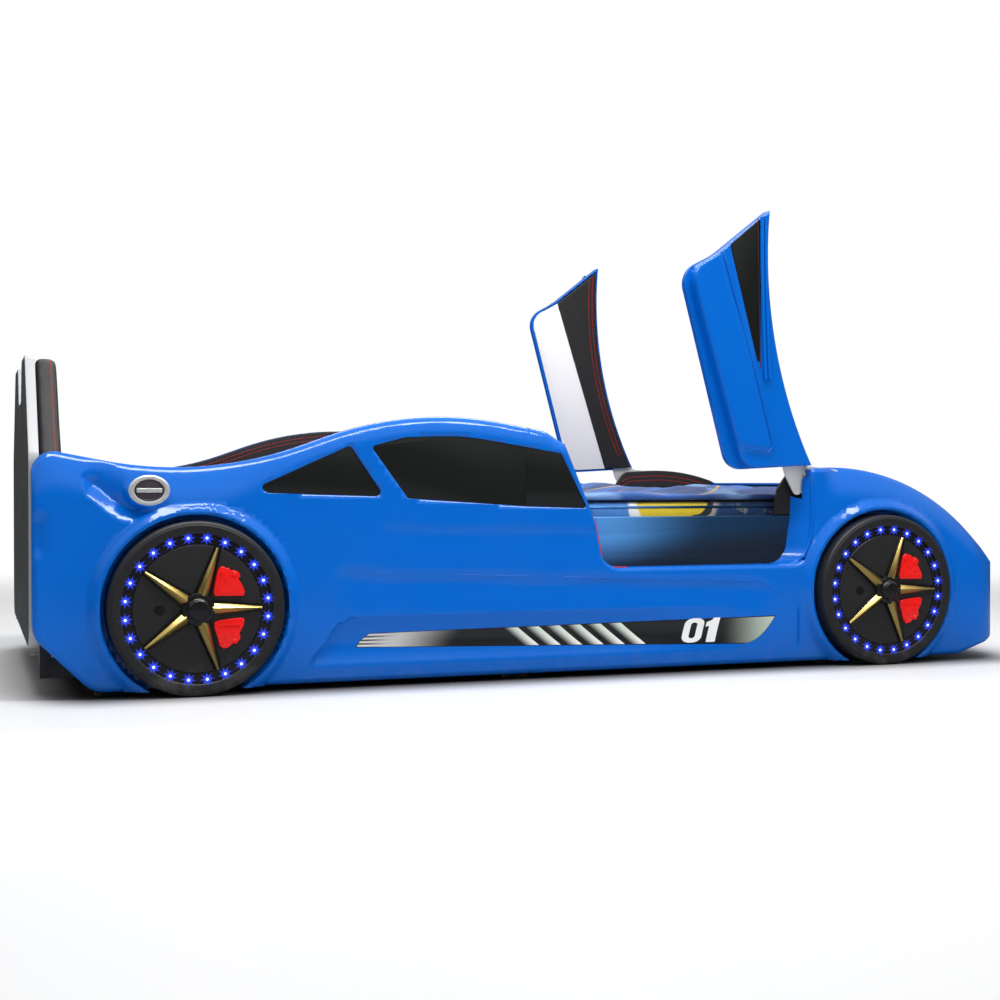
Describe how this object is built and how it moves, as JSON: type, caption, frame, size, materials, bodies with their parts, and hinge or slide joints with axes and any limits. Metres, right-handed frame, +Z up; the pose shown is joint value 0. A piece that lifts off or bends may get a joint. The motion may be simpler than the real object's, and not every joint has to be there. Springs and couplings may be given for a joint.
{
  "type": "children's car bed",
  "caption": "Single bed for a child in the form of a sports car, with upward-swinging doors, a padded headboard, a slatted base and a mattress.",
  "frame": {"origin": "on the floor under the middle of the whole bed, its bounding box's bottom centre", "axes": "+X towards the foot end (the car's nose), +Y to the car's left, +Z up"},
  "size_m": [2.31, 1.14, 1.0486],
  "materials": {
    "body_blue": "high gloss",
    "window_black": "high gloss",
    "chrome": "polished",
    "tyre_black": "satin",
    "spoke_gold": "metallic gold paint",
    "hub_black": "gloss",
    "clear_ring": "clear",
    "lamp_white": "clear",
    "caliper_red": "gloss",
    "bolt_steel": "zinc plated",
    "hinge_grey": "powder coat",
    "bracket_steel": "zinc plated",
    "lining_leather": "black artificial leather with red stitching",
    "card_white": "matt",
    "headboard_grey": "dark grey laminate",
    "edge_white": "satin",
    "pad_leather": "black artificial leather",
    "rail_blue": "blue laminate",
    "slat_wood": "natural",
    "frame_wood": "natural",
    "foot_plastic": "matt",
    "mattress_print": "printed woven cotton",
    "quilt_blue": "quilted cotton",
    "headlamp_clear": "clear over silver"
  },
  "bodies": {
    "bed": {"brake_calipers": "caliper_red", "centre_beam": "frame_wood", "centre_legs": "foot_plastic", "corner_bolts": "bolt_steel", "corner_brackets": "bracket_steel", "fender_lining_left": "lining_leather", "fender_lining_right": "lining_leather", "filler_cap_left": "chrome", "filler_cap_right": "chrome", "foot_board": "rail_blue", "grille": "foot_plastic", "headboard_edge": "edge_white", "headboard_pad": "pad_leather", "headboard_panel": "headboard_grey", "headlamps": "headlamp_clear", "hinge_brackets": "hinge_grey", "hinge_pins": "bolt_steel", "hub_caps": "hub_black", "lamp_control_box": "foot_plastic", "light_rings": "clear_ring", "mattress": "mattress_print", "nose_shell": "body_blue", "quarter_lining_left": "lining_leather", "quarter_lining_right": "lining_leather", "quarter_window_left": "window_black", "quarter_window_right": "window_black", "quilt": "quilt_blue", "rail_feet": "foot_plastic", "side_rail_left": "rail_blue", "side_rail_right": "rail_blue", "side_shell_front_left": "body_blue", "side_shell_front_right": "body_blue", "side_shell_rear_left": "body_blue", "side_shell_rear_right": "body_blue", "side_window_front_left": "window_black", "side_window_front_right": "window_black", "side_window_rear_left": "window_black", "side_window_rear_right": "window_black", "slat_bearers": "frame_wood", "slats": "slat_wood", "spokes_front_left": "spoke_gold", "spokes_front_right": "spoke_gold", "spokes_rear_left": "spoke_gold", "spokes_rear_right": "spoke_gold", "wheel_bolts": "bolt_steel", "wheel_front_left": "tyre_black", "wheel_front_right": "tyre_black", "wheel_lamps": "lamp_white", "wheel_rear_left": "tyre_black", "wheel_rear_right": "tyre_black"},
    "door_right": {"door_shell_right": "body_blue", "door_window_right": "window_black", "door_card_right": "card_white", "door_trim_right": "lining_leather", "hinge_arm_right": "hinge_grey"},
    "door_left": {"door_shell_left": "body_blue", "door_window_left": "window_black", "door_card_left": "card_white", "door_trim_left": "lining_leather", "hinge_arm_left": "hinge_grey"}
  },
  "joints": [
    {"name": "door_right_hinge", "type": "hinge", "parent": "bed", "child": "door_right", "pos_m": [0.574, -0.4855, 0.453], "axis": [0, -1, 0], "range_deg": [0, 75]},
    {"name": "door_left_hinge", "type": "hinge", "parent": "bed", "child": "door_left", "pos_m": [0.574, 0.4855, 0.453], "axis": [0, -1, 0], "range_deg": [0, 75]}
  ]
}
